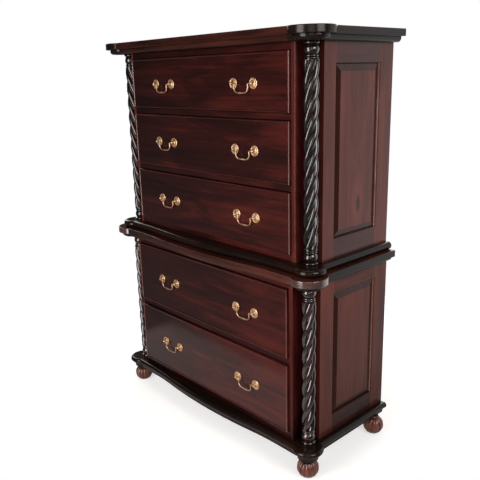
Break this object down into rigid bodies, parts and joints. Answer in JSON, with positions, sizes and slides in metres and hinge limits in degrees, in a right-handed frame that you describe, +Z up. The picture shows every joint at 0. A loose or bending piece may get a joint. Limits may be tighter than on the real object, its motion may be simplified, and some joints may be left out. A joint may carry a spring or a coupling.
{
  "type": "chest on chest",
  "caption": "Tall two-part chest of drawers in dark mahogany with rope-twist corner columns, bowed waist and base, ribbed bun feet, panelled sides and brass swan-neck handles",
  "frame": {"origin": "on the floor, under the middle of the whole chest's bounding box", "axes": "+X to the viewer's right, +Y to the back, +Z up; the drawers open toward -Y"},
  "size_m": [1.1548, 0.5015, 1.498],
  "materials": {
    "brass": "polished and lacquered",
    "foot_mahogany": "carved, stained red-brown, gloss lacquer",
    "column_mahogany": "carved, stained near black, gloss lacquer",
    "moulding_mahogany": "moulded, stained dark, gloss lacquer",
    "drawer_mahogany": "stained dark red-brown, gloss lacquer",
    "case_mahogany": "stained dark red-brown, gloss lacquer",
    "inner_timber": "planed, unfinished"
  },
  "bodies": {
    "case": {"base_board": "moulding_mahogany", "base_cove": "moulding_mahogany", "bun_feet": "foot_mahogany", "cornice_moulding": "moulding_mahogany", "cornice_top": "moulding_mahogany", "locating_dowels": "inner_timber", "lower_back": "inner_timber", "lower_front_frame": "case_mahogany", "lower_left_column": "column_mahogany", "lower_left_side_frame": "case_mahogany", "lower_left_side_panel": "case_mahogany", "lower_right_column": "column_mahogany", "lower_right_side_frame": "case_mahogany", "lower_right_side_panel": "case_mahogany", "lower_runners": "inner_timber", "upper_back": "inner_timber", "upper_base_board": "moulding_mahogany", "upper_front_frame": "case_mahogany", "upper_left_column": "column_mahogany", "upper_left_side_frame": "case_mahogany", "upper_left_side_panel": "case_mahogany", "upper_right_column": "column_mahogany", "upper_right_side_frame": "case_mahogany", "upper_right_side_panel": "case_mahogany", "upper_runners": "inner_timber", "waist_board": "moulding_mahogany", "waist_moulding": "moulding_mahogany"},
    "drawer_1": {"drawer_1_bottom": "inner_timber", "drawer_1_box": "inner_timber", "drawer_1_front": "drawer_mahogany", "drawer_1_handle_mounts": "brass"},
    "drawer_2": {"drawer_2_bottom": "inner_timber", "drawer_2_box": "inner_timber", "drawer_2_front": "drawer_mahogany", "drawer_2_handle_mounts": "brass"},
    "drawer_3": {"drawer_3_bottom": "inner_timber", "drawer_3_box": "inner_timber", "drawer_3_front": "drawer_mahogany", "drawer_3_handle_mounts": "brass"},
    "drawer_4": {"drawer_4_bottom": "inner_timber", "drawer_4_box": "inner_timber", "drawer_4_front": "drawer_mahogany", "drawer_4_handle_mounts": "brass"},
    "drawer_5": {"drawer_5_bottom": "inner_timber", "drawer_5_box": "inner_timber", "drawer_5_front": "drawer_mahogany", "drawer_5_handle_mounts": "brass"},
    "drawer_1_bail_left": {"drawer_1_bail_left": "brass"},
    "drawer_1_bail_right": {"drawer_1_bail_right": "brass"},
    "drawer_2_bail_left": {"drawer_2_bail_left": "brass"},
    "drawer_2_bail_right": {"drawer_2_bail_right": "brass"},
    "drawer_3_bail_left": {"drawer_3_bail_left": "brass"},
    "drawer_3_bail_right": {"drawer_3_bail_right": "brass"},
    "drawer_4_bail_left": {"drawer_4_bail_left": "brass"},
    "drawer_4_bail_right": {"drawer_4_bail_right": "brass"},
    "drawer_5_bail_left": {"drawer_5_bail_left": "brass"},
    "drawer_5_bail_right": {"drawer_5_bail_right": "brass"}
  },
  "joints": [
    {"name": "drawer_1_slide", "type": "slide", "parent": "case", "child": "drawer_1", "axis": [0, -1, 0], "range_m": [0, 0.3]},
    {"name": "drawer_1_bail_left_swing", "type": "hinge", "parent": "drawer_1", "child": "drawer_1_bail_left", "pos_m": [-0.222, -0.19125, 1.3375], "axis": [-1, 0, 0], "range_deg": [-12, 190]},
    {"name": "drawer_1_bail_right_swing", "type": "hinge", "parent": "drawer_1", "child": "drawer_1_bail_right", "pos_m": [0.222, -0.19125, 1.3375], "axis": [-1, 0, 0], "range_deg": [-12, 190]},
    {"name": "drawer_2_slide", "type": "slide", "parent": "case", "child": "drawer_2", "axis": [0, -1, 0], "range_m": [0, 0.3]},
    {"name": "drawer_2_bail_left_swing", "type": "hinge", "parent": "drawer_2", "child": "drawer_2_bail_left", "pos_m": [-0.222, -0.19125, 1.11975], "axis": [-1, 0, 0], "range_deg": [-12, 190]},
    {"name": "drawer_2_bail_right_swing", "type": "hinge", "parent": "drawer_2", "child": "drawer_2_bail_right", "pos_m": [0.222, -0.19125, 1.11975], "axis": [-1, 0, 0], "range_deg": [-12, 190]},
    {"name": "drawer_3_slide", "type": "slide", "parent": "case", "child": "drawer_3", "axis": [0, -1, 0], "range_m": [0, 0.3]},
    {"name": "drawer_3_bail_left_swing", "type": "hinge", "parent": "drawer_3", "child": "drawer_3_bail_left", "pos_m": [-0.222, -0.19125, 0.89175], "axis": [-1, 0, 0], "range_deg": [-12, 190]},
    {"name": "drawer_3_bail_right_swing", "type": "hinge", "parent": "drawer_3", "child": "drawer_3_bail_right", "pos_m": [0.222, -0.19125, 0.89175], "axis": [-1, 0, 0], "range_deg": [-12, 190]},
    {"name": "drawer_4_slide", "type": "slide", "parent": "case", "child": "drawer_4", "axis": [0, -1, 0], "range_m": [0, 0.3]},
    {"name": "drawer_4_bail_left_swing", "type": "hinge", "parent": "drawer_4", "child": "drawer_4_bail_left", "pos_m": [-0.2275, -0.21325, 0.551], "axis": [-1, 0, 0], "range_deg": [-12, 190]},
    {"name": "drawer_4_bail_right_swing", "type": "hinge", "parent": "drawer_4", "child": "drawer_4_bail_right", "pos_m": [0.2275, -0.21325, 0.551], "axis": [-1, 0, 0], "range_deg": [-12, 190]},
    {"name": "drawer_5_slide", "type": "slide", "parent": "case", "child": "drawer_5", "axis": [0, -1, 0], "range_m": [0, 0.3]},
    {"name": "drawer_5_bail_left_swing", "type": "hinge", "parent": "drawer_5", "child": "drawer_5_bail_left", "pos_m": [-0.2275, -0.21325, 0.27], "axis": [-1, 0, 0], "range_deg": [-12, 190]},
    {"name": "drawer_5_bail_right_swing", "type": "hinge", "parent": "drawer_5", "child": "drawer_5_bail_right", "pos_m": [0.2275, -0.21325, 0.27], "axis": [-1, 0, 0], "range_deg": [-12, 190]}
  ]
}
